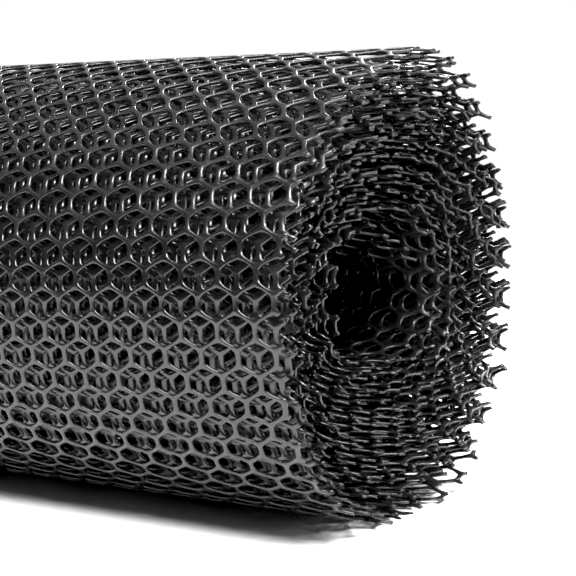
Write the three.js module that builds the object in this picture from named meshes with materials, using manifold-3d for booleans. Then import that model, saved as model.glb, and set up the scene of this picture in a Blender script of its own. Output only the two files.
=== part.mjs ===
// A roll of black plastic poultry netting, lying on its side: one strip of hexagonal net wound into a hollow
// coil. Its inner turns have slid along the axis, and its inner end lies loose across the bore.
// Millimetres, +Z up, the roll's axis along X. It rests on a small flat at z = 0.
import * as THREE from "three";
import { mergeGeometries, mergeVertices } from "three/addons/utils/BufferGeometryUtils.js";
import Module from "manifold-3d";

// Netting
const WIDTH = 400; // across the strip, so along the roll
const CELL = 15; // from cell to cell along the roll
const SHORT_WALL = 5.3; // the walls of a cell that run along the winding
const STRAND = 1.6; // flat width of a strand
const PLY = 2; // thickness of the loose inner end

// Winding. Radii are means, before the roll went out of round. Angles start at the top and open towards -Y.
const OUTER_RADIUS = 96.5;
const BORE_RADIUS = 34;
const TURNS = 20;
const OUTER_END = 219.375; // where the strip's outer end lies, low at the back
const TELESCOPE = 16; // how far the innermost turn has slid towards -X
const WANDER = 1.5; // how far the strip strays from that slide
const WANDER_WAVES = 2.3; // in a turn

// The loose end crosses the bore from its root on the wall to its tip near the far wall.
const LOOSE_ROOT = { angle: 27, radius: 34 };
const LOOSE_BEND = { angle: -42, radius: 24 };
const LOOSE_TIP = { angle: -80, radius: 37 };
const LOOSE_STEPS = 8;

// The net's weight has pressed the roll out of round. Each row is a ring of waves on the outline.
const OUTER_WAVES = [
  { lobes: 2, height: 3.4, at: 75 },
  { lobes: 3, height: 2.2, at: -5 },
  { lobes: 4, height: 1.1, at: -23 },
];
const BORE_WAVES = [{ lobes: 2, height: 6, at: 90 }];

// The solid has thick turns, each for about three of the real ones, and every second cell each way.
const FACETS = 32; // in a turn, one of them level at the bottom
const COIL_FACETS = 209; // in the whole coil, so that it starts at the root of the loose end
const COARSE = 2;
const CELL_ROWS = 25;
const CELL_COLUMNS = 11;
const FIRST_ROW = 163.125; // angle of the row nearest the floor at the front
const CELL_DEPTH = 9.4; // through three real turns
const CELL_CLEARANCE = 2; // how far the cutter of a cell stands out of the surface
const BITE = 0.4; // how deep a thick turn sits in the one inside it

const FACET = 360 / FACETS;
const COIL = COIL_FACETS * FACET;
const TURN = (OUTER_RADIUS - BORE_RADIUS) / TURNS; // radius gained in a real turn

const wasm = await Module();
wasm.setup();

const sin = (angle) => Math.sin(THREE.MathUtils.degToRad(angle));
const cos = (angle) => Math.cos(THREE.MathUtils.degToRad(angle));

// A point of the section, with the part's y and z as its x and y
const inSection = (angle, radius) => new THREE.Vector2(-radius * sin(angle), radius * cos(angle));

const ripple = (waves, angle) =>
  waves.reduce((sum, wave) => sum + wave.height * cos(wave.lobes * (angle - wave.at)), 0);

// Along the strip, "wound" is the angle turned since the inner end, from 0 to COIL.
const angleAt = (wound) => OUTER_END - COIL + wound;

// The surface between a thick turn and the next, from the bore's wall to the outer end
function coilRadius(wound) {
  const angle = angleAt(wound);
  const hole = BORE_RADIUS + ripple(BORE_WAVES, angle);
  const outline = OUTER_RADIUS + ripple(OUTER_WAVES, angle);
  return THREE.MathUtils.lerp(hole, outline, wound / COIL) - TURN / 2;
}

// The bore and the outline gain no more than a real turn, so their steps have the strip's own height.
function innerFace(wound) {
  if (wound >= 360) return coilRadius(wound) - BITE;
  return BORE_RADIUS + ripple(BORE_WAVES, angleAt(wound)) + TURN * (wound / 360 - 0.5);
}

function outerFace(wound) {
  if (wound <= COIL - 360) return coilRadius(wound + 360);
  return OUTER_RADIUS + ripple(OUTER_WAVES, angleAt(wound)) + TURN * ((wound - COIL) / 360 + 0.5);
}

// How far the strip has slid along the axis
function slide(wound) {
  return TELESCOPE * (wound / COIL - 0.5) + WANDER * sin(WANDER_WAVES * (COIL - wound));
}

// Height of the resting facet over the axis, which is negative
const restHeight = Math.max(
  ...[180 - FACET / 2, 180 + FACET / 2]
    .map((angle) => inSection(angle, outerFace(COIL + angle - OUTER_END)).y),
);

// A closed geometry as a solid that can be cut and joined
function solidOf(geometry) {
  geometry.deleteAttribute("normal");
  geometry.deleteAttribute("uv");
  const merged = mergeVertices(geometry);
  const vertProperties = merged.attributes.position.array;
  const triVerts = new Uint32Array(merged.index.array);
  return new wasm.Manifold(new wasm.Mesh({ numProp: 3, vertProperties, triVerts }));
}

function geometryOf(solid) {
  const { vertProperties, triVerts } = solid.getMesh();
  const geometry = new THREE.BufferGeometry();
  geometry.setAttribute("position", new THREE.BufferAttribute(vertProperties, 3));
  geometry.setIndex(new THREE.BufferAttribute(triVerts, 1));
  return geometry;
}

// A stretch of thick strip: a flat bar with one segment a facet, wound up by moving its points
function woundStretch(first, facets) {
  const bar = new THREE.BoxGeometry(facets, 1, WIDTH, facets, 1, 1);
  const points = bar.attributes.position;
  for (let i = 0; i < points.count; i += 1) {
    const wound = (first + Math.round(points.getX(i) + facets / 2)) * FACET;
    const radius = points.getY(i) > 0 ? outerFace(wound) : innerFace(wound);
    const { x: y, y: z } = inSection(angleAt(wound), radius);
    points.setXYZ(i, slide(wound) - points.getZ(i), y, Math.max(z, restHeight));
  }
  return solidOf(bar);
}

// The stretches are a turn long and run one facet into each other.
function woundStrip() {
  let strip = woundStretch(0, FACETS + 1);
  for (let first = FACETS; first < COIL_FACETS; first += FACETS) {
    strip = strip.add(woundStretch(first, Math.min(FACETS + 1, COIL_FACETS - first)));
  }
  return strip;
}

// Turns a shape's x, y and depth to the part's y, z and x.
function toSection(geometry) {
  const [x, y, z] = [new THREE.Vector3(1, 0, 0), new THREE.Vector3(0, 1, 0), new THREE.Vector3(0, 0, 1)];
  return geometry.applyMatrix4(new THREE.Matrix4().makeBasis(y, z, x));
}

function looseEnd() {
  const marks = [LOOSE_ROOT, LOOSE_BEND, LOOSE_TIP];
  const [root, bend, tip] = marks.map(({ angle, radius }) => inSection(angle, radius));
  const middle = new THREE.QuadraticBezierCurve(root, bend, tip);
  const side = (offset) => (point, k) => {
    const along = middle.getTangent(k / LOOSE_STEPS);
    return point.clone().add(new THREE.Vector2(-along.y, along.x).multiplyScalar(offset));
  };
  const points = middle.getPoints(LOOSE_STEPS);
  const outline = [...points.map(side(PLY / 2)), ...points.map(side(-PLY / 2)).reverse()];
  const sheet = new THREE.ExtrudeGeometry(new THREE.Shape(outline), { depth: WIDTH, bevelEnabled: false });
  return solidOf(toSection(sheet).translate(slide(0) - WIDTH / 2, 0, 0));
}

// One coarse cell's hole, a hexagon drawn in by half a strand from the middle of its walls
function cellHole() {
  const pitch = CELL * COARSE;
  const wall = SHORT_WALL * COARSE;
  const strand = STRAND * COARSE;
  const rise = THREE.MathUtils.degToRad(FACET) * OUTER_RADIUS - wall;
  const slope = rise / (pitch / 2);
  const side = (pitch - strand) / 2;
  const top = wall / 2 + rise - (strand / 2) * Math.hypot(1, slope);
  const shoulder = top - side * slope;
  const right = [[0, -top], [side, -shoulder], [side, shoulder]];
  const left = [[0, top], [-side, shoulder], [-side, -shoulder]];
  const corners = [...left, ...right];
  return new THREE.Shape(corners.map(([x, y]) => new THREE.Vector2(x, y)));
}

// Rows of holes cut into the outermost turn, each row half a cell on from the last
function cellHoles() {
  const depth = CELL_DEPTH + CELL_CLEARANCE;
  const hole = new THREE.ExtrudeGeometry(cellHole(), { depth, bevelEnabled: false });
  const holes = [];
  for (let row = 0; row < CELL_ROWS; row += 1) {
    const angle = FIRST_ROW - row * FACET;
    const wound = COIL + angle - OUTER_END;
    const { x: y, y: z } = inSection(angle, outerFace(wound) - CELL_DEPTH);
    const halfCell = row % 2 ? 1 / 2 : 0;
    for (let column = 0; column < CELL_COLUMNS; column += 1) {
      const fromMiddle = column + halfCell - (CELL_COLUMNS - 1 / 2) / 2;
      const x = slide(wound) + fromMiddle * CELL * COARSE;
      const place = new THREE.Matrix4().makeRotationX(THREE.MathUtils.degToRad(angle));
      holes.push(hole.clone().applyMatrix4(place.setPosition(x, y, z)));
    }
  }
  return solidOf(mergeGeometries(holes));
}

// The roll, moved so that its box stands centred on the origin
function roll() {
  const geometry = geometryOf(woundStrip().add(looseEnd()).subtract(cellHoles()));
  geometry.computeBoundingBox();
  const { min, max } = geometry.boundingBox;
  return geometry.translate(-(min.x + max.x) / 2, -(min.y + max.y) / 2, -min.z);
}

const black = new THREE.MeshStandardMaterial({ color: 0x0b0b0c, roughness: 0.38, flatShading: true });
const netting = new THREE.Mesh(roll(), black);
netting.name = "netting_roll";

const group = new THREE.Group();
group.add(netting);

export default group;
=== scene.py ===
# The looks of a roll of black plastic poultry netting: the real net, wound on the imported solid's spiral.
# Sizes are in millimetres until a mesh is made, which is in metres. +Z up, the roll's axis along X.
from math import hypot

import bpy
import numpy as np
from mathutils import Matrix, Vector


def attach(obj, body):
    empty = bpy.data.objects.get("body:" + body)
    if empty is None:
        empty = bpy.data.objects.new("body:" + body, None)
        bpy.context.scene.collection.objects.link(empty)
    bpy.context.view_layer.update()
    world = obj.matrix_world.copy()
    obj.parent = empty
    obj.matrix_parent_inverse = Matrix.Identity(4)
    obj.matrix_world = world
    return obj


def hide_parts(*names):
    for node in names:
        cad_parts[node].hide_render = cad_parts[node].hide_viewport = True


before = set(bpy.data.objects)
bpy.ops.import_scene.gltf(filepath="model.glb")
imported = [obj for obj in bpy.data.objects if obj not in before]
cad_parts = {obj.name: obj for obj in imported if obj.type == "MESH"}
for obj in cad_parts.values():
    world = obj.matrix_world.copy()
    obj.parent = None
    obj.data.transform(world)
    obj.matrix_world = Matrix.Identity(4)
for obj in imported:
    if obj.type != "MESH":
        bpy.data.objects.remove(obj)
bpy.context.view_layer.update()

MM = 0.001
NODE = "netting_roll"

# The net. A cell is a hexagon with two walls along the winding.
CELL = 15  # from cell to cell along the roll
ROW = 9.636  # from row to row along the strip
SHORT_WALL = 5.3
WALL_STRAND = 1.95  # the width of the strands along the winding
SLANTED_STRAND = 1.45
THICKNESS = 1.15
ROUNDNESS = 0.7  # of a hole: 0 has sharp corners and 1 is an ellipse
COLUMN_LEAN = 0.0199  # the columns drift along the roll as they wind
ROW_LEAN = 0.0585  # the rows slant back along the roll
SLOPE = (ROW - SHORT_WALL) / (CELL / 2)

# The winding, as in the solid. Angles start at the top and open towards -Y.
OUTER_RADIUS = 96.5
BORE_RADIUS = 34
TURNS = 20.53
OUTER_END = 219.375
OUTER_WAVES = [(2, 3.4, 75), (3, 2.2, -5), (4, 1.1, -23)]  # lobes, height, angle of a crest
BORE_WAVES = [(2, 6, 90)]
AXIS_Y = 0.7
AXIS_Z = 92.2
LOOSE_BEND = (-42, 24)  # angle and radius at the bend and at the tip of the loose inner end
LOOSE_TIP = (-80, 37)
LOOSE_STEPS = 30
ANGLE_STEP = 1

# One node of the outermost turn, which places all the rows and columns
ANCHOR_ANGLE = 70.06
ANCHOR_X = 188.3

# How far the net strays from that even grid: at turns from the outer end, along the roll, along the strip
STRAYS = [
    (0.36, 0, 0),
    (0.44, 1.2, 0.2),
    (0.48, 1.8, 1.2),
    (0.65, 1.8, 1.2),
    (1.25, 3.6, -2.3),
    (1.36, 3.7, -1.4),
    (1.70, 3.9, -1.0),
    (2.30, 9.6, -4.0),
]
# How far the lower end of a wall lies along the roll from its upper end, by the angle round the roll
WALL_LEANS = [(30, 2.4), (50, 2.2), (65, 0.9), (95, 0.3), (115, -0.8), (180, -0.8)]

# The ends. The roll was cut across, a little askew, and the inner turns are set back.
NEAR_END = 207
FAR_END = -193
ASKEW_Y = 0.078
ASKEW_Z = 0.028
TELESCOPE = 16
UNEVEN = 2.2  # how far a turn's cut edge strays
UNEVEN_WAVE = 45
RAGGED = 2.6  # how unevenly the strands are cut
LEAST_STUB = 0.12  # of a strand's length
JOIN = 0.47  # where along a strand two patches of the net meet

# How the turns stray from the spiral. A wave is a length of strip over which it changes.
SAG = 0.35
SAG_WAVE = 90
FLARE = 1.2  # of each turn at the ends
FLARE_WAVE = 17
FLARE_REACH = 45  # from the ends
LEAST_FLARE = 0.4  # of the flare, in the outermost turn
LOOSENED_IN = 3  # turns from the outer end to where the turns lie as loose as they get
SPREAD = 2.2  # of several turns together at the ends
SPREAD_TURNS = 3
SPREAD_SWING = 2  # how much the spread differs round the roll
SPREAD_STARTS, SPREAD_FULL = 2, 8  # turns from the outer end
DRIFT = 0.8  # along the axis
DRIFT_WAVE = 31

# A strand's section from its outer face inwards: how far a ring lies from the hole's edge towards the
# strand's middle, as a share, and how deep. The last ring of a ridged strand is its middle line.
BEVELLED = [(0.45, 0), (0, 0.45), (0.25, THICKNESS)]
RIDGED = [(0.1, 0), (1, THICKNESS)]
SEED = 7
NOISE_VALUES = 4096
SPARE_ROWS = 4  # of the grid, beyond a piece of the net
SPARE_COLUMNS = 2
TINY = 1e-9

# The studio, in metres and watts
LIGHTS = [  # name, place, what it points at, size, power
    ("key", (0.24, -0.6, 0.94), (0, 0, 0), (0.6, 0.35), 31),
    ("strip_behind", (-0.06, 0.8, 0.85), (0, 0, 0.09), (0.12, 0.7), 19),
    ("strip_right", (0.6, -0.1, 0.9), (0, 0, 0.1), (0.9, 0.12), 21),
]
PAPER = 2.2
BRIGHTEST_SKY = (0.0, 0.62, 0.78)  # the way to it
BLACK_POINT = 0.003  # the light that the picture shows as black


def ripple(waves, angle):
    return sum(height * np.cos(np.radians(lobes * (angle - crest))) for lobes, height, crest in waves)


def in_section(angle, radius):
    """The y and z of a point, from the roll's axis"""
    turned = np.radians(angle)
    return np.stack([-radius * np.sin(turned), radius * np.cos(turned)], -1)


def noise(at, seed):
    """Values from -1 to 1 that change smoothly over a distance of about 1"""
    values = np.random.default_rng(SEED + seed).uniform(-1, 1, NOISE_VALUES)
    cell = np.floor(at).astype(int)
    share = ease(0, 1, at - cell)
    return values[cell % NOISE_VALUES] * (1 - share) + values[(cell + 1) % NOISE_VALUES] * share


def ease(low, high, value):
    share = np.clip((value - low) / (high - low), 0, 1)
    return share * share * (3 - 2 * share)


class Winding:
    """The strip's outer face in the roll's section, by the length wound from the loose end's root"""

    def __init__(self):
        coil = TURNS * 360
        wound = np.arange(0, coil + ANGLE_STEP, ANGLE_STEP)
        angle = OUTER_END - coil + wound
        bore = BORE_RADIUS + ripple(BORE_WAVES, angle)
        outline = OUTER_RADIUS + ripple(OUTER_WAVES, angle)
        turn = (OUTER_RADIUS - BORE_RADIUS) / TURNS
        spiral = in_section(angle, bore + (outline - bore) * wound / coil + turn / 2)
        bend, tip = in_section(*LOOSE_BEND), in_section(*LOOSE_TIP)
        share = np.linspace(1, 0, LOOSE_STEPS, endpoint=False)[:, None]
        loose = (1 - share) ** 2 * spiral[0] + 2 * share * (1 - share) * bend + share ** 2 * tip
        self.points = np.concatenate([loose, spiral])
        steps = np.hypot(*np.diff(self.points, axis=0).T)
        self.length = np.concatenate([[0], np.cumsum(steps)]) - steps[:len(loose)].sum()
        along = np.gradient(self.points, self.length, axis=0)
        along /= np.hypot(*along.T)[:, None]
        self.outward = np.stack([along[:, 1], -along[:, 0]], -1)
        self.turns_in = np.concatenate([np.full(len(loose), TURNS), (coil - wound) / 360])

    def point(self, length, depth):
        y, z = (np.interp(length, self.length, column) for column in self.points.T)
        out_y, out_z = (np.interp(length, self.length, column) for column in self.outward.T)
        return y - depth * out_y, z - depth * out_z

    def length_at(self, turns_in):
        return np.interp(-turns_in, -self.turns_in, self.length)

    def turns_in_at(self, length):
        return np.interp(length, self.length, self.turns_in)


winding = Winding()
FIRST, LAST = winding.length[0], winding.length[-1]
ANCHOR = winding.length_at((OUTER_END - ANCHOR_ANGLE) / 360)


def leaned(p, q):
    """Along the roll and along the strip, from the even grid of cells"""
    length = ANCHOR + q - ROW_LEAN * p
    turns_in = winding.turns_in_at(length)
    turns, along_roll, along_strip = zip(*STRAYS)
    angles, leans = zip(*WALL_LEANS)
    down_a_wall = np.interp(q % ROW, (0, SHORT_WALL, ROW), (0, 1, 0))
    lean = np.interp((OUTER_END - 360 * turns_in) % 360, angles, leans, leans[0], 0)
    x = ANCHOR_X + p + COLUMN_LEAN * q + np.interp(turns_in, turns, along_roll)
    return x + lean * down_a_wall, length + np.interp(turns_in, turns, along_strip)


def inset_from_end(x, length):
    """How far inside the strip's cut edges a point lies"""
    y, z = winding.point(length, 0)
    askew = ASKEW_Y * y + ASKEW_Z * z
    back = TELESCOPE * winding.turns_in_at(length) / TURNS
    near = NEAR_END + askew - back + UNEVEN * noise(length / UNEVEN_WAVE, 1)
    far = FAR_END + askew - back + UNEVEN * noise(length / UNEVEN_WAVE, 2)
    return np.minimum(np.minimum(near - x, x - far), np.minimum(length - FIRST, LAST - length))


def placed(x, length, depth):
    """The place in the part's frame, in metres, of points across, along and in the strip"""
    turns_in = winding.turns_in_at(length)
    near_end = ease(NEAR_END - FLARE_REACH, NEAR_END, x)
    far_end = ease(FAR_END + FLARE_REACH, FAR_END, x)
    loose = ease(0, LOOSENED_IN, turns_in)
    flare = near_end * noise(length / FLARE_WAVE, 3) + far_end * noise(length / FLARE_WAVE, 4)
    flare *= FLARE * (LEAST_FLARE + (1 - LEAST_FLARE) * loose)
    place_of_turn = turns_in / SPREAD_TURNS + SPREAD_SWING * np.cos(2 * np.pi * turns_in)
    spread = ease(SPREAD_STARTS, SPREAD_FULL, turns_in) * noise(place_of_turn, 7)
    flare += SPREAD * (near_end + far_end) * spread
    y, z = winding.point(length, depth - SAG * noise(length / SAG_WAVE, 5) - flare)
    x = x + DRIFT * noise(length / DRIFT_WAVE, 6) * loose
    return np.stack([x, y + AXIS_Y, np.maximum(z + AXIS_Z, 0)], -1) * MM


def cell_outline(per_side, wall_strand=0, slanted_strand=0):
    """A cell's points from its centre, inside its strands, with its half height and half width"""
    tall = ROW - SHORT_WALL / 2 - slanted_strand / 2 * hypot(1, SLOPE)
    wide = (CELL - wall_strand) / 2
    low = tall - wide * SLOPE
    corners = np.array([(0, tall), (wide, low), (wide, -low), (0, -tall), (-wide, -low), (-wide, low)])
    share = np.arange(per_side)[None, :, None] / per_side
    hexagon = corners[:, None] * (1 - share) + np.roll(corners, -1, 0)[:, None] * share
    return hexagon.reshape(-1, 2), tall, wide


def hole_outline(per_side):
    """A hole's points from its centre, counterclockwise from outside. Each side's first is at a corner."""
    hexagon, tall, wide = cell_outline(per_side, WALL_STRAND, SLANTED_STRAND)
    # The ellipse in the hexagon touches all its sides.
    high = np.sqrt(tall ** 2 - (wide * SLOPE) ** 2)
    ellipse = hexagon / np.hypot(hexagon[:, 0] / wide, hexagon[:, 1] / high)[:, None]
    return hexagon * (1 - ROUNDNESS) + ellipse * ROUNDNESS


class Patch:
    """A closed mesh of the net whose nodes lie in a stretch and a band of the strip.

    The grid holds holes. A hole owns its lower and upper node, and the three strands on its right.
    A strand lies between two holes, and runs from one node to another.
    """

    def __init__(self, turns, band, per_side, rings):
        self.per_side = per_side
        self.rings = rings
        self.ridged = rings[-1][0] == 1
        self.stretch = (winding.length_at(turns[1]), winding.length_at(turns[0]))
        self.band = band
        low, high = (int((length - ANCHOR) / ROW) for length in self.stretch)
        rows = np.arange(low - SPARE_ROWS, high + SPARE_ROWS + 1)
        drift = COLUMN_LEAN * ROW * rows
        first = np.floor((max(band[0], FAR_END - 2 * TELESCOPE) - ANCHOR_X - drift.max()) / CELL)
        last = np.ceil((min(band[1], NEAR_END + TELESCOPE) - ANCHOR_X - drift.min()) / CELL)
        columns = np.arange(first - SPARE_COLUMNS, last + SPARE_COLUMNS + 1)
        self.odd = rows % 2
        self.p = CELL * (columns[None, :] + self.odd[:, None] / 2)
        self.q = ROW * (rows[:, None] - 1 + 0 * self.p) + SHORT_WALL / 2
        self.hole_points()
        self.lower = self.node(ROW - SHORT_WALL / 2)
        self.upper = self.node(SHORT_WALL / 2 - ROW)
        self.quads, self.triangles = [], []
        self.find_strands()
        self.add_nodes()
        self.add_strands()

    def hole_points(self):
        hole, cell = hole_outline(self.per_side), cell_outline(self.per_side)[0]
        share, depth = np.array(self.rings).T[:, :, None]
        p = self.p[..., None, None] + hole[:, 0] * (1 - share) + cell[:, 0] * share
        q = self.q[..., None, None] + hole[:, 1] * (1 - share) + cell[:, 1] * share
        x, length = leaned(p, q)
        self.points = placed(x, length, depth + 0 * x).reshape(-1, 3)

    def node(self, apex):
        """How far inside the strip each hole's lower or upper node is, and whether it is in this patch"""
        x, length = leaned(self.p, self.q + apex)
        inset = inset_from_end(x, length)
        row = leaned(self.p, self.q)[1]
        here = (row >= self.stretch[0]) & (row < self.stretch[1]) & (x >= self.band[0]) & (x < self.band[1])
        return inset, here & (inset > 0)

    def beside(self, row, column):
        """The row and column of the holes at the lower right, right and upper right of these"""
        right = column + self.odd[row]
        return (row + 1, right), (row, column + 1), (row - 1, right)

    def point(self, hole, corner, step=0, ring=0):
        """The number of a point of a hole's outline"""
        row, column = hole
        size = 6 * self.per_side
        place = (corner * self.per_side + step) % size
        if self.ridged and ring == len(self.rings) - 1:
            row, column, place = self.owned(row, column, place)
        start = (row * self.p.shape[1] + column) * len(self.rings) + ring
        return start * size + place

    def owned(self, row, column, corner):
        """A cell's corner as the lower or upper one of the cell that owns it"""
        (below, right), _, (above, _) = self.beside(row, column)
        lower_left, upper_left = (corner == 5), (corner == 4)
        row = np.where((corner == 1) | lower_left, below, np.where((corner == 2) | upper_left, above, row))
        column = np.where((corner == 1) | (corner == 2), right, column)
        column = np.where(lower_left | upper_left, right - 1, column)
        upper = (corner == 1) | (corner == 3) | (corner == 5)
        return row, column, np.where(upper, 3, 0)

    def find_strands(self):
        row, column = (index.ravel() for index in np.indices(self.p.shape)[:, 1:-1, 1:-2])
        hole = (row, column)
        lower_right, right, upper_right = self.beside(row, column)
        found = []
        for side, other, start, end in [
            (0, lower_right, (self.lower, hole), (self.upper, lower_right)),
            (1, right, (self.upper, lower_right), (self.lower, upper_right)),
            (2, upper_right, (self.lower, upper_right), (self.upper, hole)),
        ]:
            (start_inset, start_here), (end_inset, end_here) = (
                (nodes[0][place], nodes[1][place]) for nodes, place in (start, end)
            )
            kept = start_here | end_here
            strand = [row, column, np.full(len(row), side), *other]
            columns = [*strand, start_here, end_here, start_inset, end_inset]
            found.append(np.array(columns, float)[:, kept])
        found = np.concatenate(found, 1)
        whole = found[:7].astype(int)
        self.hole, self.side, self.other = (whole[0], whole[1]), whole[2], (whole[3], whole[4])
        self.start_here, self.end_here = whole[5].astype(bool), whole[6].astype(bool)
        inside, outside = found[7], found[8]
        ragged = np.random.default_rng(SEED).uniform(-RAGGED, RAGGED, len(inside)) / ROW
        cut = np.clip(inside / (inside - outside + TINY) + ragged, LEAST_STUB, 1 - LEAST_STUB)
        self.cut = np.where((inside > 0) & (outside > 0), JOIN, cut)

    def add_nodes(self):
        last = len(self.rings) - 1
        for nodes, corners, up in [(self.lower, (0, 2, 4), 1), (self.upper, (3, 5, 1), -1)]:
            row, column = np.nonzero(nodes[1])
            right = (row + up, column + self.odd[row])
            left = (row + up, column - 1 + self.odd[row])
            holes = ((row, column), left, right) if up == 1 else ((row, column), right, left)
            for ring, order in ((0, 1),) if self.ridged else ((0, 1), (last, -1)):
                trio = [self.point(hole, corner, 0, ring) for hole, corner in zip(holes, corners)]
                self.triangles.append(np.stack(trio[::order], -1))

    def add_strands(self):
        both = self.start_here & self.end_here
        for step in range(self.per_side):
            low, high = step / self.per_side, (step + 1) / self.per_side
            whole = both | (self.start_here & (self.cut >= high)) | (self.end_here & (self.cut <= low))
            self.add_stretch(self.ends(whole, step), self.ends(whole, step + 1))
            cut_here = ~both & (low < self.cut) & (self.cut < high)
            for here, forward in ((self.start_here, True), (self.end_here, False)):
                chosen = cut_here & here
                before, after = self.ends(chosen, step), self.ends(chosen, step + 1)
                middle = self.cut_points(before, after, self.cut[chosen] * self.per_side - step)
                if forward:
                    self.add_stretch(before, middle)
                    self.add_cap(middle[0], middle[1])
                else:
                    self.add_stretch(middle, after)
                    self.add_cap(middle[1], middle[0])

    def ends(self, chosen, step):
        """The points of both holes, one row a ring, at a step of these strands"""
        hole, other = (tuple(index[chosen] for index in place) for place in (self.hole, self.other))
        side, rings = self.side[chosen], range(len(self.rings))
        return (
            np.array([self.point(hole, side, step, ring) for ring in rings]),
            np.array([self.point(other, side + 4, -step, ring) for ring in rings]),
        )

    def cut_points(self, before, after, share):
        """New points where these strands are cut"""
        middle = []
        for start, end in zip(before, after):
            made = self.points[start] * (1 - share[:, None]) + self.points[end] * share[:, None]
            middle.append(len(self.points) + np.arange(start.size).reshape(start.shape))
            self.points = np.concatenate([self.points, made.reshape(-1, 3)])
        if self.ridged:
            middle[1][-1] = middle[0][-1]
        return middle

    def add_stretch(self, before, after):
        (a, b), (a_next, b_next) = before, after
        self.quads.append(np.stack([a_next[0], a[0], b[0], b_next[0]], -1))
        if not self.ridged:
            self.quads.append(np.stack([a[-1], a_next[-1], b_next[-1], b[-1]], -1))
        for ring in range(len(self.rings) - 1):
            self.quads += [
                np.stack([a[ring], a_next[ring], a_next[ring + 1], a[ring + 1]], -1),
                np.stack([b_next[ring], b[ring], b[ring + 1], b_next[ring + 1]], -1),
            ]

    def add_cap(self, a, b):
        if self.ridged:
            self.triangles.append(np.stack([a[0], b[0], b[1]], -1))
            return
        for ring in range(len(self.rings) - 1):
            self.quads.append(np.stack([a[ring], b[ring], b[ring + 1], a[ring + 1]], -1))

    def faces(self):
        return np.concatenate(self.quads), np.concatenate(self.triangles)


def vertex_normals(points, faces):
    """Normals weighted by area, so that a strand's face looks flat and its edges round"""
    normals = np.zeros_like(points)
    for corners in faces:
        a, b, c, d = (points[corners[:, k % corners.shape[1]]] for k in (0, 1, 2, 3))
        area = np.cross(c - a, d - b) if corners.shape[1] == 4 else np.cross(b - a, c - a)
        for k in range(corners.shape[1]):
            for axis in range(3):
                normals[:, axis] += np.bincount(corners[:, k], area[:, axis], len(points))
    return normals / np.linalg.norm(normals, axis=1)[:, None]


def net_object(name, patch, material):
    quads, triangles = patch.faces()
    used, numbers = np.unique(np.concatenate([quads.ravel(), triangles.ravel()]), return_inverse=True)
    points = patch.points[used]
    quads, triangles = numbers[:quads.size].reshape(-1, 4), numbers[quads.size:].reshape(-1, 3)
    mesh = bpy.data.meshes.new(name)
    mesh.vertices.add(len(points))
    mesh.vertices.foreach_set("co", points.ravel())
    mesh.loops.add(numbers.size)
    mesh.loops.foreach_set("vertex_index", numbers.ravel())
    mesh.polygons.add(len(quads) + len(triangles))
    starts = np.concatenate([np.arange(len(quads)) * 4, quads.size + np.arange(len(triangles)) * 3])
    mesh.polygons.foreach_set("loop_start", starts)
    mesh.update(calc_edges=True)
    mesh.shade_smooth()
    mesh.normals_split_custom_set_from_vertices(vertex_normals(points, (quads, triangles)))
    mesh.materials.append(material)
    piece = bpy.data.objects.new(name, mesh)
    bpy.context.scene.collection.objects.link(piece)
    print(name, "triangles", 2 * len(quads) + len(triangles))
    return piece


def set_inputs(node, values):
    for name, value in values.items():
        node.inputs[name].default_value = value


def plastic():
    """Black polyethylene, satin, with fine scuffs"""
    material = bpy.data.materials.new("netting")
    material.use_nodes = True
    nodes, links = material.node_tree.nodes, material.node_tree.links
    shader = nodes["Principled BSDF"]
    set_inputs(shader, {"Metallic": 0, "IOR": 1.51, "Specular IOR Level": 0.5})
    place = nodes.new("ShaderNodeTexCoord").outputs["Object"]
    scuffs = nodes.new("ShaderNodeTexNoise")
    set_inputs(scuffs, {"Scale": 420, "Detail": 4})
    patches = nodes.new("ShaderNodeTexNoise")
    set_inputs(patches, {"Scale": 45, "Detail": 3})
    for texture in (scuffs, patches):
        links.new(place, texture.inputs["Vector"])
    blend = nodes.new("ShaderNodeMath")
    blend.operation = "MULTIPLY_ADD"
    blend.inputs[1].default_value = 0.5
    links.new(scuffs.outputs["Fac"], blend.inputs[0])
    links.new(patches.outputs["Fac"], blend.inputs[2])
    gloss = nodes.new("ShaderNodeMapRange")
    set_inputs(gloss, {"From Min": 0.5, "From Max": 1.0, "To Min": 0.2, "To Max": 0.32})
    links.new(blend.outputs[0], gloss.inputs["Value"])
    links.new(gloss.outputs[0], shader.inputs["Roughness"])
    tone = nodes.new("ShaderNodeValToRGB")
    dark, worn = tone.color_ramp.elements
    dark.position, dark.color = 0.35, (0.004, 0.004, 0.0042, 1)
    worn.position, worn.color = 0.75, (0.009, 0.009, 0.0095, 1)
    links.new(patches.outputs["Fac"], tone.inputs["Fac"])
    links.new(tone.outputs["Color"], shader.inputs["Base Color"])
    bump = nodes.new("ShaderNodeBump")
    set_inputs(bump, {"Strength": 0.12, "Distance": 0.0003})
    links.new(scuffs.outputs["Fac"], bump.inputs["Height"])
    links.new(bump.outputs["Normal"], shader.inputs["Normal"])
    return material


def camera():
    data = bpy.data.cameras.new("camera")
    data.lens = 81.35
    data.sensor_width = 36
    data.clip_start = 0.01
    item = bpy.data.objects.new("camera", data)
    item.location = (0.4053, -0.4768, 0.1431)
    item.rotation_euler = Vector((-0.4717, 0.8764, -0.0970)).to_track_quat("-Z", "Y").to_euler()
    bpy.context.scene.collection.objects.link(item)
    bpy.context.scene.camera = item


def area_light(name, place, target, size, power):
    data = bpy.data.lights.new(name, "AREA")
    data.shape = "RECTANGLE"
    data.size, data.size_y = size
    data.energy = power
    item = bpy.data.objects.new(name, data)
    item.location = place
    item.rotation_euler = (Vector(target) - Vector(place)).to_track_quat("-Z", "Y").to_euler()
    bpy.context.scene.collection.objects.link(item)


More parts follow.
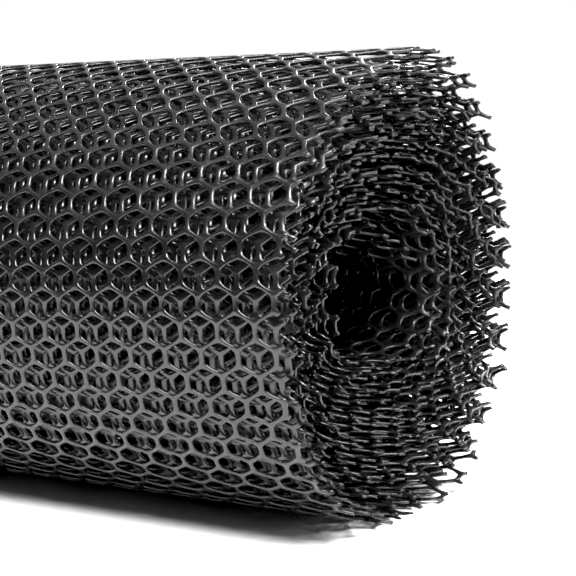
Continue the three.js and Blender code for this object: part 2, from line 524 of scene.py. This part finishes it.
def studio():
    bpy.ops.mesh.primitive_plane_add(size=PAPER, location=(0, 0, 0))
    floor = bpy.context.object
    floor.name = "floor"
    paper = bpy.data.materials.new("paper")
    paper.use_nodes = True
    shader = paper.node_tree.nodes["Principled BSDF"]
    set_inputs(shader, {"Base Color": (0.92, 0.92, 0.92, 1), "Roughness": 0.7, "Specular IOR Level": 0.2})
    floor.data.materials.append(paper)
    for light in LIGHTS:
        area_light(*light)
    sky()


def sky():
    """White to the camera, and to the net a light that falls off towards the front and the floor"""
    world = bpy.data.worlds.new("studio")
    bpy.context.scene.world = world
    world.use_nodes = True
    nodes, links = world.node_tree.nodes, world.node_tree.links
    seen = nodes["Background"]
    set_inputs(seen, {"Color": (1, 1, 1, 1), "Strength": 1})
    lit = nodes.new("ShaderNodeBackground")
    direction = nodes.new("ShaderNodeTexCoord").outputs["Generated"]
    towards = nodes.new("ShaderNodeVectorMath")
    towards.operation = "DOT_PRODUCT"
    towards.inputs[1].default_value = BRIGHTEST_SKY
    links.new(direction, towards.inputs[0])
    fall = nodes.new("ShaderNodeMapRange")
    set_inputs(fall, {"From Min": -0.25, "From Max": 0.7, "To Min": 0.05, "To Max": 0.65})
    links.new(towards.outputs["Value"], fall.inputs["Value"])
    links.new(fall.outputs[0], lit.inputs["Strength"])
    ray = nodes.new("ShaderNodeLightPath")
    mix = nodes.new("ShaderNodeMixShader")
    links.new(ray.outputs["Is Camera Ray"], mix.inputs["Fac"])
    links.new(lit.outputs[0], mix.inputs[1])
    links.new(seen.outputs[0], mix.inputs[2])
    links.new(mix.outputs[0], nodes["World Output"].inputs["Surface"])


# Name, stretch in turns from the outer end, band along the roll, points to a hole's side, edges
END_BAND = 170
ALL = (-300, 300)
PATCHES = [
    ("net_outer_end", (-1, 0.095), ALL, 2, BEVELLED),
    ("net_outer_turn", (0.095, 0.735), ALL, 4, BEVELLED),
    ("net_second_turn", (0.735, 2), ALL, 2, BEVELLED),
    ("net_third_turn", (2, 3), ALL, 1, BEVELLED),
    ("net_inner_turns_a", (3, 7.2), (-300, END_BAND), 1, RIDGED),
    ("net_inner_turns_b", (7.2, 12.3), (-300, END_BAND), 1, RIDGED),
    ("net_inner_turns_c", (12.3, 19.3), (-300, END_BAND), 1, RIDGED),
    ("net_turns_at_the_cut", (3, 19.3), (END_BAND, 300), 2, BEVELLED),
    ("net_bore_and_loose_end", (19.3, 30), ALL, 2, BEVELLED),
]


def main():
    view = bpy.context.scene.view_settings
    view.view_transform = "Standard"
    view.use_curve_mapping = True
    view.curve_mapping.black_level = (BLACK_POINT,) * 3
    camera()
    studio()
    material = plastic()
    for name, turns, band, per_side, rings in PATCHES:
        patch = Patch(turns, band, per_side, rings)
        piece = net_object(name, patch, material)
        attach(piece, "root")
        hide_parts(NODE)


main()
